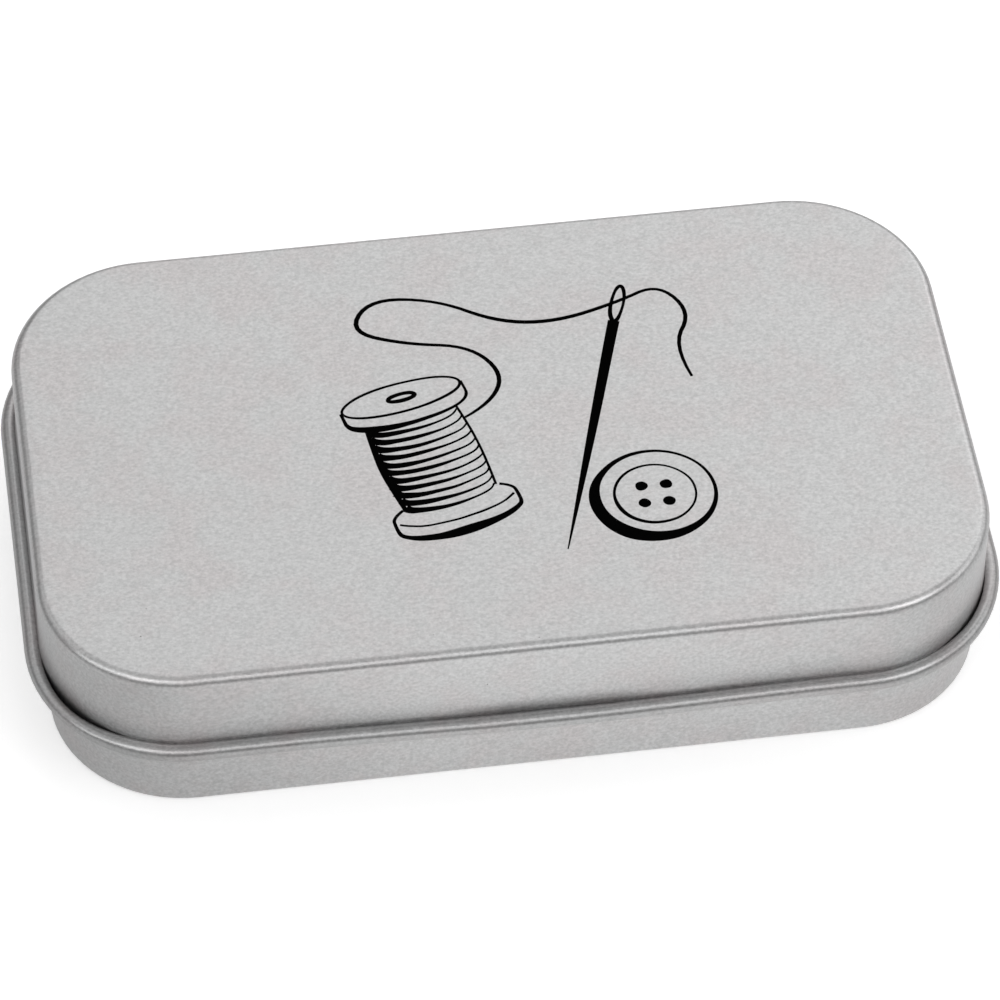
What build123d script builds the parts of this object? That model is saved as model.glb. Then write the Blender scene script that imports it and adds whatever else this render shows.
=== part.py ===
from build123d import *
import os
from math import cos, radians, sin

# A small hinged tinplate box: a drawn base pan and a drawn slip lid.
# The lower edge of the lid's wall is curled outward and up into a hollow bead. Two tongues of the
# base's back wall pass through slots in the lid and close round that bead, which is the hinge pin.
# Millimetres. +Z is up, -Y is the front, and the origin is the middle of the underside.
# Sections are drawn as (out, up): out is how far a point stands outside the lid's wall.

# Sheet
sheet = 0.25                 # tinplate thickness

# Lid
lid_length = 92.8            # outside the wall, left to right
lid_depth = 55.9             # outside the wall, front to back
corner_radius = 13.85        # outside the wall, at the four corners
total_height = 18.45         # top of the lid above the underside of the base
top_bend = 1.0               # outside radius of the bend from the top panel to the wall

# Bead round the lid's rim
bead_height = 8.9            # middle of the bead above the underside of the base
bead_radius = 0.905          # outside radius of the curl, which the wall runs straight into
curl_turn = 310.0            # degrees that the curl goes round, its edge just clear of the wall

# Base
wall_gap = 0.25              # slip fit between the lid's wall and the base's wall
base_height = 13.2           # top of the base's rolled edge above the underside
floor_bend = 0.7             # outside radius of the bend round the floor
roll_radius = 0.5            # outside radius of the base's inward-rolled edge
roll_turn = 255.0            # degrees that the rolled edge goes round

# Hinge
hinge_spacing = 40.0         # between the middles of the two tongues
tongue_width = 8.0
tongue_gap = 0.07            # running clearance between a tongue and the bead
tongue_turn = 235.0          # degrees that a tongue goes round the bead
tongue_bend = 0.5            # outside radius where a tongue leaves the base's wall
slot_end_gap = 0.5           # from a tongue's edge to the end of its slot
slot_top_gap = 0.5           # from a tongue's upper face to the top of its slot
slot_past_wall = 0.03        # the slot is cut this far past the wall's outside, clear of the curl's edge
notch_end_gap = 0.6          # from a tongue's edge to the base's wall beside it
notch_drop = 0.8             # how far that notch reaches below the tongue's bend

# What follows from those sizes
half = sheet / 2
lid_line = -half                                    # middle of the lid's wall
base_line = -sheet - wall_gap - half                # middle of the base's wall
curl = bead_radius - half                           # middle radius of the bead's sheet
bead_out = lid_line + curl                          # middle of the bead
tongue = bead_radius + tongue_gap + half            # middle radius of a tongue's curl
tongue_top = bead_height + tongue + half            # a tongue's upper face
slot_top = tongue_top + slot_top_gap
notch_floor = tongue_top - tongue_bend - notch_drop
tongue_middles = [-hinge_spacing / 2, hinge_spacing / 2]


def ahead(point, angle, length):
    """The point that lies a length away in a direction given in degrees."""
    return (point[0] + length * cos(radians(angle)), point[1] + length * sin(radians(angle)))


def section(start, heading, steps):
    """The face of a sheet seen edge on. Its middle line starts at a point, with a heading in degrees.
    A step is a length to run straight, or (middle radius, degrees to turn), left turns positive."""
    point, edges = start, {half: [], -half: []}
    for step in steps:
        if isinstance(step, tuple):
            radius, turn = step
            to_centre = heading + (90 if turn > 0 else -90)
            centre = ahead(point, to_centre, radius)
            spokes = [to_centre + 180 + turn * share for share in (0, 0.5, 1)]
            inward = 1 if turn > 0 else -1
            for offset, side in edges.items():
                corners = [ahead(centre, spoke, radius - inward * offset) for spoke in spokes]
                side.append(ThreePointArc(*corners))
            point, heading = ahead(centre, spokes[-1], radius), heading + turn
        else:
            end = ahead(point, heading, step)
            for offset, side in edges.items():
                side.append(Line(ahead(point, heading + 90, offset), ahead(end, heading + 90, offset)))
            point = end
    left, right = edges[half], edges[-half]
    caps = [Line(left[0] @ 0, right[0] @ 0), Line(left[-1] @ 1, right[-1] @ 1)]
    return make_face(left + right + caps)


def round_the_walls(face):
    """Carries a section once round the line of the lid's wall."""
    outline = RectangleRounded(lid_length, lid_depth, corner_radius).wire()
    along = outline % 0
    start = Plane(origin=outline @ 0, x_dir=along.cross(Vector(0, 0, 1)), z_dir=-along)
    return sweep(start * face, path=outline)


def panel(out, bottom, top):
    """A flat rounded plate whose edge stands out from the line of the lid's wall."""
    plate = RectangleRounded(lid_length + 2 * out, lid_depth + 2 * out, corner_radius + out)
    return Pos(0, 0, bottom) * extrude(plate, top - bottom)


def at_the_tongues(face, width):
    """Carries a section sideways along the back wall, once for each tongue."""
    back = Plane(origin=(0, lid_depth / 2, 0), x_dir=(0, 1, 0), z_dir=(1, 0, 0))
    piece = extrude(back * face, width / 2, both=True)
    return [Pos(middle, 0, 0) * piece for middle in tongue_middles]


def window(inner, outer, bottom, top):
    """The section of a cut between two distances out and two heights."""
    return Polygon((inner, bottom), (outer, bottom), (outer, top), (inner, top), align=None)


def make_lid():
    """Top panel, wall and hollow bead, with a slot in the wall above the bead for each tongue."""
    rim = section(
        (-top_bend, total_height - half), 0,
        [(top_bend - half, -90), total_height - top_bend - bead_height, (curl, curl_turn)],
    )
    shell = round_the_walls(rim) + panel(-top_bend, total_height - sheet, total_height)
    opening = window(-2 * sheet, slot_past_wall, bead_height, slot_top)
    for slot in at_the_tongues(opening, tongue_width + 2 * slot_end_gap):
        shell -= slot
    return shell


def make_base():
    """Floor, wall and rolled edge, with the two tongues that hold the lid's bead."""
    bend, roll, leave = floor_bend - half, roll_radius - half, tongue_bend - half
    inset = base_line - bend
    wall = section(
        (inset, half), 0,
        [(bend, 90), base_height - roll_radius - floor_bend, (roll, roll_turn)],
    )
    shell = round_the_walls(wall) + panel(inset, 0, sheet)
    notch = window(base_line - 2 * roll_radius, base_line + sheet, notch_floor, base_height + sheet)
    for gap in at_the_tongues(notch, tongue_width + 2 * notch_end_gap):
        shell -= gap
    strip = section(
        (base_line, notch_floor), 90,
        [bead_height + tongue - leave - notch_floor, (leave, -90),
         bead_out - base_line - leave, (tongue, -tongue_turn)],
    )
    for piece in at_the_tongues(strip, tongue_width):
        shell += piece
    return shell


parts = {"base": make_base(), "lid": make_lid()}
os.makedirs("parts", exist_ok=True)
for name, solid in parts.items():
    solid.label = name
    export_step(solid, f"parts/{name}.step")
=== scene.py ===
import random
from math import atan2, cos, degrees, pi, radians, sin

import bpy
from mathutils import Matrix, Vector


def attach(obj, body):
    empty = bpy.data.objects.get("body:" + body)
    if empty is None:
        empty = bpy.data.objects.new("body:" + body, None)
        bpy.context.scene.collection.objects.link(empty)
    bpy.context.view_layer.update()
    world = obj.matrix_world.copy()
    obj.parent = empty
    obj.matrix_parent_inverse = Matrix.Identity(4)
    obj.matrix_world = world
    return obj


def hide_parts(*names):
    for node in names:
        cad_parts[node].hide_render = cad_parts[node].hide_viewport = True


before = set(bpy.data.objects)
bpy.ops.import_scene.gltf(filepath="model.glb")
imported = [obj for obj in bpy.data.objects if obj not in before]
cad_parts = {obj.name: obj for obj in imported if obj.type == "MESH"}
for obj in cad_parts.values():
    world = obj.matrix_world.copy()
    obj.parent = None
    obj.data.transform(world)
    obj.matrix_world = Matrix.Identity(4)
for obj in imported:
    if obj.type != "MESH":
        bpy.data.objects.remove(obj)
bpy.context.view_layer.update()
mm = 0.001  # sizes below are in millimetres, and this makes them metres
sameSpot = 0.001  # places this near (mm) count as the same
weld = 0.002  # points this near (mm) become one

# The walls follow a rounded rectangle, which is the outside of the lid's wall.
# A section is drawn as (out, up): how far outside that wall, and how high.
outline = {
    "length": 92.8, "depth": 55.9, "corner": 13.85,
    "sheet": 0.25,                  # thickness of the tinplate
    "cornerSteps": 20,              # faces round a corner
    "sideSteps": 9,                 # faces along half a side
    "frontSpacing": 1.6,            # width of the faces along the front
    "panelRings": (1.2, 2.0, 3.0),  # rings inside the edge of a flat panel
}
hinge = {"spacing": 40.0, "tongueWidth": 8.0, "slotEndGap": 0.5, "notchEndGap": 0.6}
cornerX = outline["length"] / 2 - outline["corner"]
cornerY = outline["depth"] / 2 - outline["corner"]
halfDepth = outline["depth"] / 2
half = outline["sheet"] / 2


def deselectAll():
    if bpy.context.object and bpy.context.object.mode != "OBJECT":
        bpy.ops.object.mode_set(mode="OBJECT")
    bpy.ops.object.select_all(action="DESELECT")


def pick(*pieces):
    deselectAll()
    for piece in pieces:
        piece.select_set(True)
    bpy.context.view_layer.objects.active = pieces[0]


def choose(piece, kind, wanted):  # ends in edit mode, with only the wanted points or faces selected
    bpy.ops.object.mode_set(mode="EDIT")
    bpy.ops.mesh.select_mode(type=kind)
    bpy.ops.mesh.select_all(action="DESELECT")
    bpy.ops.object.mode_set(mode="OBJECT")
    if kind == "VERT":
        for point in piece.data.vertices:
            point.select = wanted(point.co / mm)
    else:
        for face in piece.data.polygons:
            face.select = wanted(face.center / mm)
    bpy.ops.object.mode_set(mode="EDIT")


def selectWhole():
    bpy.ops.object.mode_set(mode="EDIT")
    bpy.ops.mesh.select_all(action="SELECT")


def pull(move):  # extrudes what is selected
    bpy.ops.mesh.extrude_region_move(TRANSFORM_OT_translate={"value": move})


def applyModifier(piece, kind, **settings):
    pick(piece)
    bpy.ops.object.modifier_add(type=kind)
    modifier = piece.modifiers[-1]
    for name, value in settings.items():
        setattr(modifier, name, value)
    bpy.ops.object.modifier_apply(modifier=modifier.name)


def atFront(x, out, up):
    return Vector((x, -halfDepth - out, up)) * mm


def drawSection(name, x, start, heading, steps):
    # One point is drawn out into the line of the sheet, seen edge on, in the plane of this x.
    # A step is (length, pieces) to run straight, or (radius, degrees, pieces), left turns positive.
    deselectAll()
    bpy.ops.mesh.primitive_plane_add(size=mm, location=atFront(x, *start))
    piece = bpy.context.object
    piece.name = name
    bpy.ops.object.transform_apply(location=True)
    bpy.ops.object.mode_set(mode="EDIT")
    bpy.ops.mesh.select_mode(type="VERT")
    bpy.ops.mesh.select_all(action="SELECT")
    bpy.ops.mesh.merge(type="CENTER")
    out, up = start
    for step in steps:
        if len(step) == 2:
            length, pieces = step
            go = cos(radians(heading)) * length, sin(radians(heading)) * length
            for part in range(pieces):
                pull(Vector((0, -go[0], go[1])) * mm / pieces)
            out, up = out + go[0], up + go[1]
        else:
            radius, turn, pieces = step
            side = radians(heading + (90 if turn > 0 else -90))
            middle = out + radius * cos(side), up + radius * sin(side)
            bpy.ops.mesh.spin(
                steps=pieces, angle=radians(-turn), center=atFront(x, *middle), axis=(-1, 0, 0)
            )
            reached = side + radians(turn)
            out, up = middle[0] - radius * cos(reached), middle[1] - radius * sin(reached)
            heading += turn
    bpy.ops.object.mode_set(mode="OBJECT")
    return piece


def carryRound(piece, stops):
    # The section at the front right corner goes round the corner, then straight to the middle of
    # the right side and of the front. Two mirrors finish the ring.
    selectWhole()
    centre = Vector((cornerX, -cornerY, 0)) * mm
    bpy.ops.mesh.spin(
        steps=outline["cornerSteps"], angle=radians(-90), center=centre, axis=(0, 0, 1)
    )
    for stop in range(outline["sideSteps"]):
        pull(Vector((0, cornerY / outline["sideSteps"], 0)) * mm)
    choose(piece, "VERT", lambda point: abs(point.x - cornerX) < sameSpot)
    for here, there in zip(stops, stops[1:]):
        pull(Vector((there - here, 0, 0)) * mm)
    bpy.ops.object.mode_set(mode="OBJECT")
    applyModifier(piece, "MIRROR", use_axis=(True, True, False), merge_threshold=weld * mm)


def stopsAlong(marks, spacing):  # the marks, with even stops between them
    stops = [marks[0]]
    for here, there in zip(marks, marks[1:]):
        pieces = max(1, round(abs(there - here) / spacing))
        stops += [here + (there - here) * (part + 1) / pieces for part in range(pieces)]
    return stops


def closePanel(piece, height):  # fills the flat panel inside the innermost ring
    choose(piece, "VERT", lambda point: abs(point.z - height) < sameSpot)
    bpy.ops.mesh.edge_face_add()
    bpy.ops.mesh.select_mode(type="FACE")
    for inset in outline["panelRings"]:
        bpy.ops.mesh.inset(thickness=inset * mm, use_even_offset=True)
    bpy.ops.object.mode_set(mode="OBJECT")


def cutAway(piece, wanted):
    choose(piece, "FACE", wanted)
    bpy.ops.mesh.delete(type="FACE")
    bpy.ops.object.mode_set(mode="OBJECT")


def nearTongue(x, reach):
    return min(abs(x - hinge["spacing"] / 2), abs(x + hinge["spacing"] / 2)) < reach


def finishSheet(piece, material, body, node):
    selectWhole()
    bpy.ops.mesh.remove_doubles(threshold=weld * mm)
    bpy.ops.mesh.normals_make_consistent(inside=False)
    bpy.ops.object.mode_set(mode="OBJECT")
    thickness = outline["sheet"] * mm
    applyModifier(piece, "SOLIDIFY", thickness=thickness, offset=0, use_even_offset=True)
    pick(piece)
    bpy.ops.object.shade_smooth_by_angle(angle=radians(40))
    piece.data.materials.clear()
    piece.data.materials.append(material)
    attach(piece, body)
    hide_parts(node)


def fade(value, start, end):  # 0 at start and 1 at end, straight between
    return min(1, max(0, (value - start) / (end - start)))


def ease(share):
    return share * share * (3 - 2 * share)


def outOfWall(point):  # how far a point stands outside the lid's wall line
    dx, dy = max(abs(point.x) - cornerX, 0), max(abs(point.y) - cornerY, 0)
    return (dx * dx + dy * dy) ** 0.5 - outline["corner"]


def weigh(piece, name, weight):  # a vertex group whose weight comes from each point's place
    group = piece.vertex_groups.new(name=name)
    for point in piece.data.vertices:
        group.add([point.index], weight(point.co / mm), "REPLACE")
    return name


def push(piece, most, shiftAt):  # moves each point by its own shift, at most this far each way
    groups = []
    for axis, letter in enumerate("XYZ"):
        for sign in (1, -1):
            def share(point):
                return min(1, max(0, sign * shiftAt(point)[axis] / most))
            groups.append((letter, sign, weigh(piece, f"push{letter}{sign}", share)))
    for letter, sign, group in groups:
        reach = sign * most * mm
        applyModifier(
            piece, "DISPLACE", direction=letter, mid_level=0, strength=reach, vertex_group=group
        )


def wave(piece, name, size, height, weight, direction="NORMAL"):  # soft unevenness
    texture = bpy.data.textures.new(name, type="CLOUDS")
    texture.noise_scale = size * mm
    texture.noise_depth = 1
    applyModifier(
        piece, "DISPLACE", texture=texture, texture_coords="LOCAL", direction=direction,
        mid_level=0.5, strength=height * mm, vertex_group=weigh(piece, name, weight)
    )


# Materials are put together from these, which take and give output sockets
def newMaterial(name):
    material = bpy.data.materials.new(name)
    material.use_nodes = True
    return material, material.node_tree, material.node_tree.nodes["Principled BSDF"]


def addNode(tree, kind, **values):  # a value is a setting of the node or one of its inputs
    node = tree.nodes.new(kind)
    for name, value in values.items():
        if hasattr(node, name):
            setattr(node, name, value)
        else:
            node.inputs[name].default_value = value
    return node


def noise(tree, place, size, detail, roughness=0.5):
    node = addNode(
        tree, "ShaderNodeTexNoise", Scale=1 / (size * mm), Detail=detail, Roughness=roughness
    )
    tree.links.new(place, node.inputs["Vector"])
    return node.outputs["Fac"]


def shades(tree, value, dark, light, span=(0, 1)):
    node = addNode(tree, "ShaderNodeValToRGB")
    low, high = node.color_ramp.elements
    low.position, high.position = span
    low.color, high.color = dark, light
    tree.links.new(value, node.inputs["Fac"])
    return node.outputs["Color"]


def remap(tree, value, span=(0, 1), to=(0, 1)):
    node = addNode(tree, "ShaderNodeMapRange")
    node.inputs["From Min"].default_value, node.inputs["From Max"].default_value = span
    node.inputs["To Min"].default_value, node.inputs["To Max"].default_value = to
    tree.links.new(value, node.inputs["Value"])
    return node.outputs["Result"]


def tint(tree, share, colour, over, blend="MIX"):
    node = addNode(tree, "ShaderNodeMix", data_type="RGBA", blend_type=blend)
    tree.links.new(share, node.inputs["Factor"])
    tree.links.new(colour, node.inputs["A"])
    node.inputs["B"].default_value = over
    return node.outputs["Result"]


def combine(tree, operation, first, second):  # each is an output socket or a number
    node = addNode(tree, "ShaderNodeMath", operation=operation)
    for socket, value in zip(node.inputs, (first, second)):
        if isinstance(value, bpy.types.NodeSocket):
            tree.links.new(value, socket)
        else:
            socket.default_value = value
    return node.outputs["Value"]


tinplate = {
    "light": (0.572, 0.572, 0.572, 1),
    "dark": (0.417, 0.418, 0.418, 1),
    "grain": 0.27,                  # size of the grain, mm
    "contrast": (0.30, 0.70),       # where the grain turns dark and light
    "rolling": (0.75, 1, 0.9),      # the grain is drawn out along the rolled sheet
    "roughness": (0.27, 0.40),
    "relief": 0.65, "reliefHeight": 0.02,
    "warm": (1.0, 0.962, 0.962, 1),
    "blotch": 7.0,                  # size of the faint warm patches, mm
    "warmSpan": (0.44, 0.62), "warmMost": 0.85,
    "speckColour": (0.12, 0.115, 0.11, 1),
    "speck": 5.0,                   # spacing of the dark specks, mm
    "speckSize": (0.018, 0.008),    # from the edge of a speck to its middle, in spacings
    "curl": (0.80, 0.80, 0.80, 1),  # painted shade: the outer, lower part of the curled edge is darkened, standing in for its darker reflections
}


def makeTinplate(name):
    material, tree, shader = newMaterial(name)
    join = tree.links.new
    shader.inputs["Metallic"].default_value = 1
    place = addNode(tree, "ShaderNodeTexCoord").outputs["Object"]
    stretch = addNode(tree, "ShaderNodeMapping", Scale=tinplate["rolling"])
    join(place, stretch.inputs["Vector"])
    grain = noise(tree, stretch.outputs["Vector"], tinplate["grain"], 3, 0.6)
    colour = shades(tree, grain, tinplate["dark"], tinplate["light"], tinplate["contrast"])
    blotch = noise(tree, place, tinplate["blotch"], 4, 0.65)
    warmth = remap(tree, blotch, tinplate["warmSpan"], (0, tinplate["warmMost"]))
    colour = tint(tree, warmth, colour, tinplate["warm"], "MULTIPLY")
    # A cell shows a speck only where its middle lies close to the surface
    cells = addNode(tree, "ShaderNodeTexVoronoi", Scale=1 / (tinplate["speck"] * mm))
    join(place, cells.inputs["Vector"])
    speck = remap(tree, cells.outputs["Distance"], tinplate["speckSize"])
    colour = tint(tree, speck, colour, tinplate["speckColour"])
    # Painted shade: the curled edge is darkened by the share stored on the mesh
    curled = addNode(tree, "ShaderNodeAttribute", attribute_name="curled").outputs["Fac"]
    colour = tint(tree, curled, colour, tinplate["curl"], "MULTIPLY")
    join(colour, shader.inputs["Base Color"])
    join(remap(tree, grain, to=tinplate["roughness"]), shader.inputs["Roughness"])
    relief = addNode(
        tree, "ShaderNodeBump", Strength=tinplate["relief"], Distance=tinplate["reliefHeight"] * mm
    )
    join(grain, relief.inputs["Height"])
    join(relief.outputs["Normal"], shader.inputs["Normal"])
    return material


tinMetal = makeTinplate("tinplate_satin")
print("tinplate finish made")

# Lid: top panel, wall, and an edge curled outward into a hollow bead
lid = {
    "height": 18.45, "topBend": 1.0, "slotTop": 10.625,
    "beadHeight": 8.9, "beadRadius": 0.905, "curlTurn": 315.0,
}
beadOut = lid["beadRadius"] - outline["sheet"]  # the middle of the bead, out from the wall

# How the stamped rim strays from the plain section, in mm unless it says otherwise
stamping = {
    "most": 0.5,                        # no point is moved further than this along an axis
    "tuck": 0.20,                       # the curl is tighter round the front left corner
    "tuckElsewhere": 0.55,              # share of that at the other corners
    "tuckMiddle": 57, "tuckReach": 40,  # degrees round the corner, from the long side
    "foot": 0.14,                       # the wall swells where the curl is pressed against it
    "footTop": (1.9, 0.75),             # above the bead's middle
    "footEnd": (0.2, 0.6),
    "flatShare": 0.9,                   # share of the swelling that the front's middle lacks
    "flatMiddle": 2, "flatReach": (12, 4),
    "bow": 0.40,                        # the long front wall bows out at its rim
    "bowMiddle": 3, "bowReach": 27, "bowHeights": (17, 9),
    "rimWave": 0.10, "rimWaveSize": 11, "rimHeights": (12.5, 10.2),
    "wallWave": 0.06, "wallWaveSize": 7, "wallTop": (14, 11.5), "wallEnd": (9.8, 11.5),
    "curlTop": (10.2, 9.8), "curlOut": (0.1, 0.6),  # where the painted shade on the curled edge begins
}


def rimShape(point):
    side, end = max(abs(point.x) - cornerX, 0), max(abs(point.y) - cornerY, 0)
    away = Vector((side if point.x > 0 else -side, end if point.y > 0 else -end, 0)).normalized()
    corner = 0  # 1 at the tightest place of a corner
    if side and end:
        fromMiddle = abs(degrees(atan2(side, end)) - stamping["tuckMiddle"])
        corner = ease(fade(fromMiddle, stamping["tuckReach"], 0))
    shift = Vector((0, 0, 0))
    out, up = outOfWall(point) - beadOut, point.z - lid["beadHeight"]
    if out < -0.05 - beadOut:  # on the wall
        pressed = 1
        if point.y < 0:
            fromMiddle = abs(point.x - stamping["flatMiddle"])
            pressed = 1 - stamping["flatShare"] * ease(fade(fromMiddle, *stamping["flatReach"]))
        swell = away * stamping["foot"] * pressed * (1 - corner)
        shift += swell * ease(fade(up, *stamping["footTop"])) * fade(up, *stamping["footEnd"])
    elif 0 < up < 1:  # on the upper half of the curl
        frontLeft = point.x < 0 and point.y < 0
        tuck = stamping["tuck"] * corner * (1 if frontLeft else stamping["tuckElsewhere"])
        turned = atan2(up, out)
        shift += away * tuck * (1 - cos(turned)) - Vector((0, 0, tuck * sin(turned)))
    if point.y < -20:
        fromMiddle = abs(point.x - stamping["bowMiddle"])
        along = ease(fade(fromMiddle, stamping["bowReach"], 0))
        shift.y -= stamping["bow"] * along * fade(point.z, *stamping["bowHeights"])
    return shift


def rimWeight(point):
    return fade(point.z, *stamping["rimHeights"]) if point.y < 20 else 0


def wallWeight(point):
    if outOfWall(point) <= -0.4:
        return 0
    return fade(point.z, *stamping["wallTop"]) * fade(point.z, *stamping["wallEnd"])


def makeLid():
    steps = [
        (lid["topBend"] - half, -90, 12),
        (lid["height"] - lid["topBend"] - lid["slotTop"], 8),
        (lid["slotTop"] - lid["beadHeight"], 4),
        (lid["beadRadius"] - half, lid["curlTurn"], 40),
    ]
    piece = drawSection("lidShell", cornerX, (-lid["topBend"], lid["height"] - half), 0, steps)
    reach = hinge["tongueWidth"] / 2 + hinge["slotEndGap"]
    marks = [cornerX, hinge["spacing"] / 2 + reach, hinge["spacing"] / 2 - reach, 0]
    carryRound(piece, stopsAlong(marks, outline["frontSpacing"]))
    closePanel(piece, lid["height"] - half)
    # Two slots in the back, from above the bead down to where its curl begins
    cutAway(piece, lambda face: (
        face.y > 0 and nearTongue(face.x, reach) and lid["beadHeight"] < face.z < lid["slotTop"]
        and outOfWall(face) < 0
    ))
    push(piece, stamping["most"], rimShape)
    wave(piece, "rimWave", stamping["rimWaveSize"], stamping["rimWave"], rimWeight, "Z")
    wave(piece, "wallWave", stamping["wallWaveSize"], stamping["wallWave"], wallWeight)
    finishSheet(piece, tinMetal, "lid", "lid")
    # The share of painted shade on each point: the outer, lower part of the curled edge
    curled = piece.data.attributes.new("curled", "FLOAT", "POINT")
    for point in piece.data.vertices:
        place = point.co / mm
        low = fade(place.z, *stamping["curlTop"])
        curled.data[point.index].value = low * fade(outOfWall(place), *stamping["curlOut"])
    return piece


lidShell = makeLid()
print("lid made", len(lidShell.data.polygons))

# Base: floor, wall, inward roll, and two tongues that close round the lid's bead
base = {
    "height": 13.2, "wallGap": 0.25, "floorBend": 0.7, "rollRadius": 0.5, "rollTurn": 255.0,
    "notchFloor": 8.825, "tongueGap": 0.07, "tongueBend": 0.5, "tongueTurn": 235.0,
    "tongueSteps": 5,  # faces across a tongue
}
wallLine = -outline["sheet"] - base["wallGap"] - half  # middle of the base's wall


def makeTongue(side):
    # It rises from the notch's floor, bends out over the bead and closes round it.
    # It is drawn at the front, and then turned to the back.
    radius = lid["beadRadius"] + base["tongueGap"] + half
    leave = base["tongueBend"] - half
    steps = [
        (lid["beadHeight"] + radius - leave - base["notchFloor"], 2),
        (leave, -90, 8),
        (beadOut - wallLine - leave, 3),
        (radius, -base["tongueTurn"], 26),
    ]
    edge = hinge["spacing"] / 2 - hinge["tongueWidth"] / 2
    tongue = drawSection("tongue", edge, (wallLine, base["notchFloor"]), 90, steps)
    selectWhole()
    for part in range(base["tongueSteps"]):
        pull(Vector((hinge["tongueWidth"] / base["tongueSteps"], 0, 0)) * mm)
    bpy.ops.mesh.select_all(action="SELECT")
    bpy.ops.transform.rotate(value=pi, orient_axis="Z", center_override=(0, 0, 0))
    if side > 0:
        bpy.ops.transform.translate(value=Vector((hinge["spacing"], 0, 0)) * mm)
    return tongue


def makeBase():
    bend = base["floorBend"] - half
    steps = [
        (bend, 90, 9),
        (base["notchFloor"] - base["floorBend"], 5),
        (base["height"] - base["rollRadius"] - base["notchFloor"], 3),
        (base["rollRadius"] - half, base["rollTurn"], 24),
    ]
    piece = drawSection("baseShell", cornerX, (wallLine - bend, half), 0, steps)
    middle, edge = hinge["spacing"] / 2, hinge["tongueWidth"] / 2
    reach = edge + hinge["notchEndGap"]
    marks = [cornerX, middle + reach, middle + edge, middle - edge, middle - reach, 0]
    carryRound(piece, stopsAlong(marks, outline["frontSpacing"]))
    closePanel(piece, half)
    cutAway(piece, lambda face: (
        face.y > 0 and nearTongue(face.x, reach) and face.z > base["notchFloor"]
    ))
    tongues = [makeTongue(side) for side in (-1, 1)]
    pick(piece, *tongues)
    bpy.ops.object.join()
    finishSheet(piece, tinMetal, "base", "base")
    return piece


baseShell = makeBase()
print("base made", len(baseShell.data.polygons))

# Printed drawing on the lid: a reel of thread, a needle and a button, in black line
ink = {
    "centre": (1.5, 0.0),
    "reel": (-8.2, -2.6), "reelLean": 13,
    "needle": (8.6, 1.0), "needleLean": -17,
    "button": (12.8, -10.2),
    "windings": 11,
    "wobble": 0.05, "hand": 11,  # how far the pen shakes (mm), and the seed it shakes by
    "flatness": 0.06,            # the height of a line as a share of its width
    "dark": (0.0005, 0.0005, 0.0005, 1), "light": (0.002, 0.002, 0.002, 1),
    "patch": 0.25, "roughness": (0.8, 0.95),
}


def makeInk():
    material, tree, shader = newMaterial("black_ink")
    place = addNode(tree, "ShaderNodeTexCoord").outputs["Object"]
    patch = noise(tree, place, ink["patch"], 2)
    tree.links.new(shades(tree, patch, ink["dark"], ink["light"]), shader.inputs["Base Color"])
    tree.links.new(remap(tree, patch, to=ink["roughness"]), shader.inputs["Roughness"])
    shader.inputs["Specular IOR Level"].default_value = 0.0
    return material


def leaning(points, angle, centre):  # a motif drawn upright, then leant and put in place
    c, s = cos(radians(angle)), sin(radians(angle))
    return [(centre[0] + x * c - y * s, centre[1] + x * s + y * c) for x, y in points]


def oval(rx, ry, middle, start=0, end=360, count=14):
    stops = range(count + (end - start < 360))
    spots = [radians(start + (end - start) * part / count) for part in stops]
    return [(middle[0] + rx * cos(spot), middle[1] + ry * sin(spot)) for spot in spots]


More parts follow.
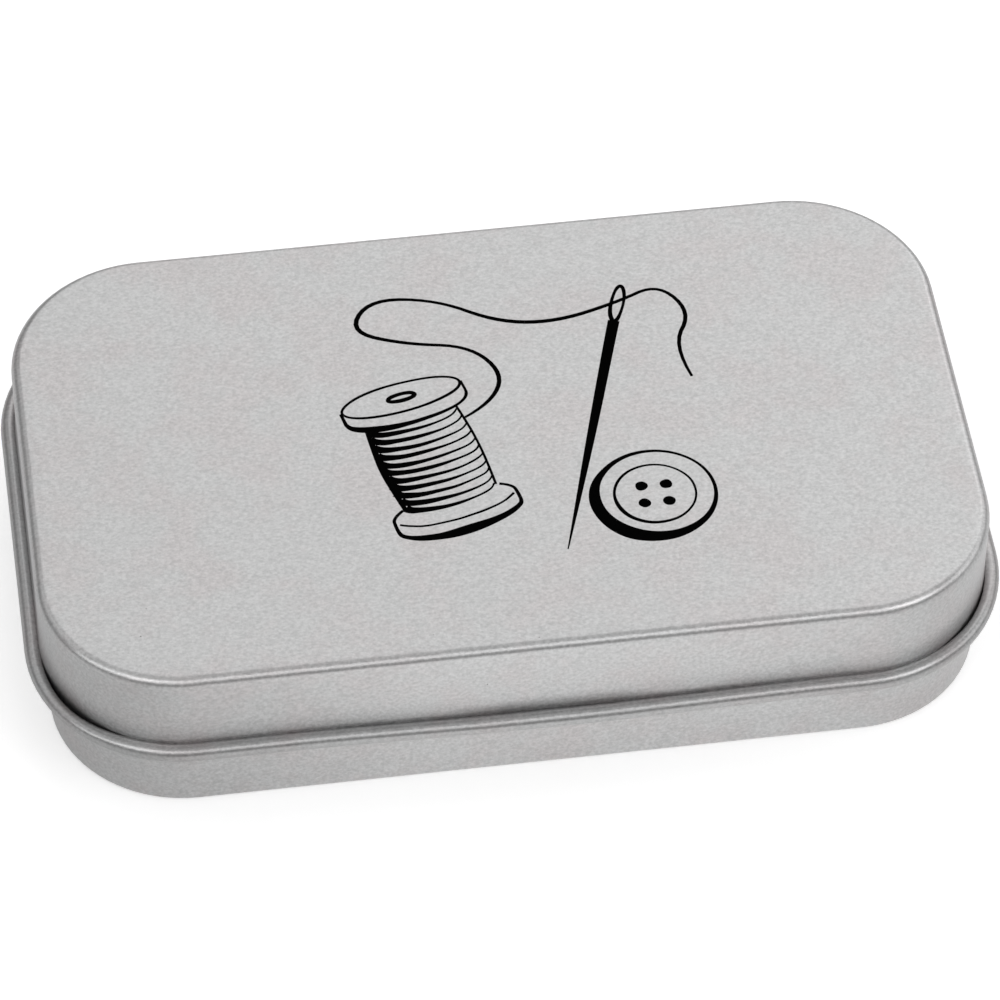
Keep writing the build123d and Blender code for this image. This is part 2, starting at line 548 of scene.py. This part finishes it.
def drawInk():
    hand = random.Random(ink["hand"])
    strokes = []

    def shaken(value):
        return value + hand.uniform(-ink["wobble"], ink["wobble"])

    def stroke(points, widths, closed=False):  # points in mm from the drawing's centre
        deselectAll()
        bpy.ops.curve.primitive_nurbs_path_add()
        piece = bpy.context.object
        line = piece.data.splines[0]
        line.points.add(max(0, len(points) - len(line.points)))
        for index, (x, y) in enumerate(points):
            share = index / (len(points) - 1) * (len(widths) - 1)
            low = min(int(share), len(widths) - 1)
            high = min(low + 1, len(widths) - 1)
            width = widths[low] + (widths[high] - widths[low]) * (share - low)
            line.points[index].co = (*(Vector((shaken(x), shaken(y), 0)) * mm), 1)
            line.points[index].radius = width * hand.uniform(0.9, 1.1)
        line.use_cyclic_u = closed
        line.order_u = 3
        line.use_endpoint_u = not closed
        line.resolution_u = 6
        piece.data.bevel_depth = 0.5 * mm  # a point's radius is then the line's width there, in mm
        piece.data.bevel_resolution = 2
        piece.data.use_fill_caps = True
        strokes.append(piece)

    def onReel(points, widths, closed=False):
        stroke(leaning(points, ink["reelLean"], ink["reel"]), widths, closed)

    # Reel of thread: upper disc with its hole, windings, the two sides, and the lower disc
    onReel(oval(6.3, 1.9, (0, 8.4)), [0.28, 0.34], True)
    onReel(oval(1.5, 0.45, (0, 8.4), count=8), [0.5], True)
    rim = oval(6.3, 1.9, (0, 6.8), 180, 360)
    onReel([(-6.3, 8.4), (-6.3, 7.0)] + rim + [(6.3, 7.0), (6.3, 8.4)], [0.3, 0.8, 0.35, 0.3])
    for layer in range(ink["windings"]):
        bulge = 4.5 + 0.5 * sin(pi * (layer + 0.5) / ink["windings"])
        winding = oval(bulge, 1.15, (0, 5.1 - layer * 1.05), 180, 360, 9)
        onReel(winding, [1.0, 0.62, 0.26, 0.2])
    onReel([(-4.7, 5.4), (-4.9, 2.8), (-5.0, 0), (-4.9, -2.8), (-4.7, -5.6)], [0.5, 0.7, 0.5])
    onReel([(4.7, 5.4), (4.9, 2.8), (5.0, 0), (4.9, -2.8), (4.7, -5.6)], [0.26])
    onReel(oval(6.3, 1.9, (0, -6.6), 200, 340), [0.26])
    left = [(-5.0, -5.6), (-6.2, -6.2), (-6.3, -7.4)]
    right = [(6.3, -7.4), (6.2, -6.2), (5.0, -5.6)]
    onReel(left + oval(6.3, 1.9, (0, -8.2), 180, 360) + right, [0.3, 0.5, 1.1, 0.5, 0.3])

    # Needle, with its eye near the upper end
    def onNeedle(points):
        return leaning(points, ink["needleLean"], ink["needle"])

    shaft = [(0, -18), (0, -10), (0, 0), (0, 10), (0, 12.6)]
    stroke(onNeedle(shaft), [0.12, 0.62, 0.95, 1.1, 1.15])
    stroke(onNeedle(oval(0.62, 2.5, (0, 15.0), -90, 270, 14)), [0.5, 0.3, 0.45, 0.3, 0.5], True)

    # Loose thread from the reel through the needle's eye
    eye = onNeedle([(0, 15.2)])[0]
    thread = [
        (-4.3, 2.0), (-1.4, 3.6), (0.4, 7.4), (-2.4, 11.6), (-8.6, 12.6), (-14.2, 15.0),
        (-11.6, 19.2), (-4.8, 18.2), (0.6, 14.4), (6.4, 13.6), eye, (17.4, 17.6), (20.2, 13.2),
        (17.6, 9.0), (18.8, 4.6),
    ]
    stroke(thread, [0.3, 0.5, 0.32, 0.6, 0.34, 0.55, 0.32, 0.5, 0.28])

    # Four-hole button
    middleX, middleY = ink["button"]
    edge = [0.32, 0.3, 0.5, 1.3, 1.5, 0.7, 0.35]
    stroke(oval(6.0, 5.6, ink["button"], 20, 380, 18), edge, True)
    stroke(oval(4.1, 3.8, ink["button"], 200, 560, 14), [0.5, 0.26, 0.24, 0.3], True)
    for x, y in ((-1.2, 1.1), (1.2, 1.1), (-1.2, -1.1), (1.2, -1.1)):
        stroke(oval(0.32, 0.32, (middleX + x, middleY + y), count=8), [0.62], True)

    pick(*strokes)
    bpy.ops.object.join()
    piece = bpy.context.object
    piece.name = "printedDrawing"
    bpy.ops.object.convert(target="MESH")
    bpy.ops.object.transform_apply(location=True, rotation=True, scale=True)
    selectWhole()
    bpy.ops.transform.resize(value=(1, 1, ink["flatness"]), center_override=(0, 0, 0))
    bpy.ops.transform.translate(value=Vector((*ink["centre"], lid["height"])) * mm)
    bpy.ops.mesh.normals_make_consistent(inside=False)
    bpy.ops.object.mode_set(mode="OBJECT")
    bpy.ops.object.shade_smooth_by_angle(angle=radians(50))
    piece.data.materials.clear()
    piece.data.materials.append(makeInk())
    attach(piece, "lid")
    return piece


printed = drawInk()
print("print made", len(printed.data.polygons))

# Floor, lights and camera
studio = {
    "floor": (0.95, 0.95, 0.95, 1),
    "floorGlow": 0.33,              # the floor is a lit white table
    "floorDrop": 0.02,              # mm below the tin's underside
    "dimFloor": (0.60, 0.60, 0.60, 1),
    # Where the reflected floor fades past each end (mm), and the share of its light left there
    "dimEnds": ((-10, -52, 0.33), (26, 62, 0.45)),
    "sky": 0.34,
    "aim": (0, 0, 0.01),
    "lights": {  # place, width and height in metres, and power in watts
        "backSoftbox": ((0.16, 0.64, 0.58), 0.72, 0.76, 1.52),
        "backRight": ((0.66, 0.50, 0.52), 0.65, 0.55, 0.95),
        "frontSoftbox": ((0.00, -0.66, 0.75), 0.70, 0.55, 1.27),
        "frontLeft": ((-0.45, -0.50, 0.72), 0.36, 0.50, 1.13),
        "frontRight": ((0.52, -0.50, 0.66), 0.42, 0.50, 1.58),
        "right": ((0.80, -0.05, 0.45), 0.50, 0.50, 0.80),
        "left": ((-0.78, -0.26, 0.57), 0.36, 0.40, 0.72),
        "backLeft": ((-0.58, 0.42, 0.66), 0.75, 0.50, 0.56),
        "overhead": ((0.00, 0.12, 1.10), 1.50, 0.85, 1.45),
    },
}


def makeFloor():
    deselectAll()
    bpy.ops.mesh.primitive_plane_add(size=6, location=(0, 0, -studio["floorDrop"] * mm))
    floor = bpy.context.object
    floor.name = "floor"
    paper, tree, shader = newMaterial("white_paper")
    join = tree.links.new
    shader.inputs["Roughness"].default_value = 0.9
    shader.inputs["Specular IOR Level"].default_value = 0.1
    shader.inputs["Emission Color"].default_value = (1, 1, 1, 1)
    # The floor that the tin reflects is dimmer past its two ends, and the floor itself is even
    along = addNode(tree, "ShaderNodeSeparateXYZ")
    join(addNode(tree, "ShaderNodeTexCoord").outputs["Object"], along.inputs["Vector"])
    left, right = (
        remap(tree, along.outputs["X"], (start * mm, end * mm), (1, least))
        for start, end, least in studio["dimEnds"]
    )
    direct = addNode(tree, "ShaderNodeLightPath").outputs["Is Camera Ray"]
    lit = combine(tree, "MAXIMUM", combine(tree, "MULTIPLY", left, right), direct)
    glow = combine(tree, "MULTIPLY", lit, studio["floorGlow"])
    join(glow, shader.inputs["Emission Strength"])
    white = addNode(tree, "ShaderNodeMix", data_type="RGBA")
    join(lit, white.inputs["Factor"])
    white.inputs["A"].default_value = studio["dimFloor"]
    white.inputs["B"].default_value = studio["floor"]
    join(white.outputs["Result"], shader.inputs["Base Color"])
    # Seen from below the paper is clear, so that the underside can be looked at
    facing = addNode(tree, "ShaderNodeNewGeometry")
    clear = addNode(tree, "ShaderNodeBsdfTransparent")
    oneSided = addNode(tree, "ShaderNodeMixShader")
    join(facing.outputs["Backfacing"], oneSided.inputs["Fac"])
    join(shader.outputs["BSDF"], oneSided.inputs[1])
    join(clear.outputs["BSDF"], oneSided.inputs[2])
    join(oneSided.outputs["Shader"], tree.nodes["Material Output"].inputs["Surface"])
    floor.data.materials.append(paper)


def makeLights():
    world = bpy.data.worlds.new("softRoom")
    bpy.context.scene.world = world
    world.use_nodes = True
    sky = world.node_tree.nodes["Background"]
    sky.inputs["Color"].default_value = (1, 1, 1, 1)
    sky.inputs["Strength"].default_value = studio["sky"]
    for name, (place, width, height, power) in studio["lights"].items():
        toward = (Vector(studio["aim"]) - Vector(place)).to_track_quat("-Z", "Y").to_euler()
        bpy.ops.object.light_add(type="AREA", location=place, rotation=toward)
        lamp = bpy.context.object
        lamp.name = name
        lamp.data.shape = "RECTANGLE"
        lamp.data.size, lamp.data.size_y = width, height
        lamp.data.energy = power
    bpy.context.scene.view_settings.view_transform = "Standard"


# Angles in degrees, and the rest in mm
view = {
    "azimuth": -8.451, "elevation": 48.689, "roll": 0.620, "distance": 544.1,
    "lens": 196.73, "sensor": 36, "aim": (0.565, 0.027, 8.0),
}


def makeCamera():
    azimuth, elevation, roll = (radians(view[name]) for name in ("azimuth", "elevation", "roll"))
    level = cos(elevation)
    back = Vector((sin(azimuth) * level, -cos(azimuth) * level, sin(elevation)))
    right = (-back).cross(Vector((0, 0, 1))).normalized()
    up = right.cross(-back)
    across = right * cos(roll) + up * sin(roll)
    above = up * cos(roll) - right * sin(roll)
    bpy.ops.object.camera_add()
    camera = bpy.context.object
    pose = Matrix((across, above, back)).transposed().to_4x4()
    pose.translation = (Vector(view["aim"]) + back * view["distance"]) * mm
    camera.matrix_world = pose
    camera.data.lens = view["lens"]
    camera.data.sensor_width = view["sensor"]
    camera.data.clip_start, camera.data.clip_end = 0.01, 20
    bpy.context.scene.camera = camera


makeFloor()
makeLights()
makeCamera()
print("studio ready")
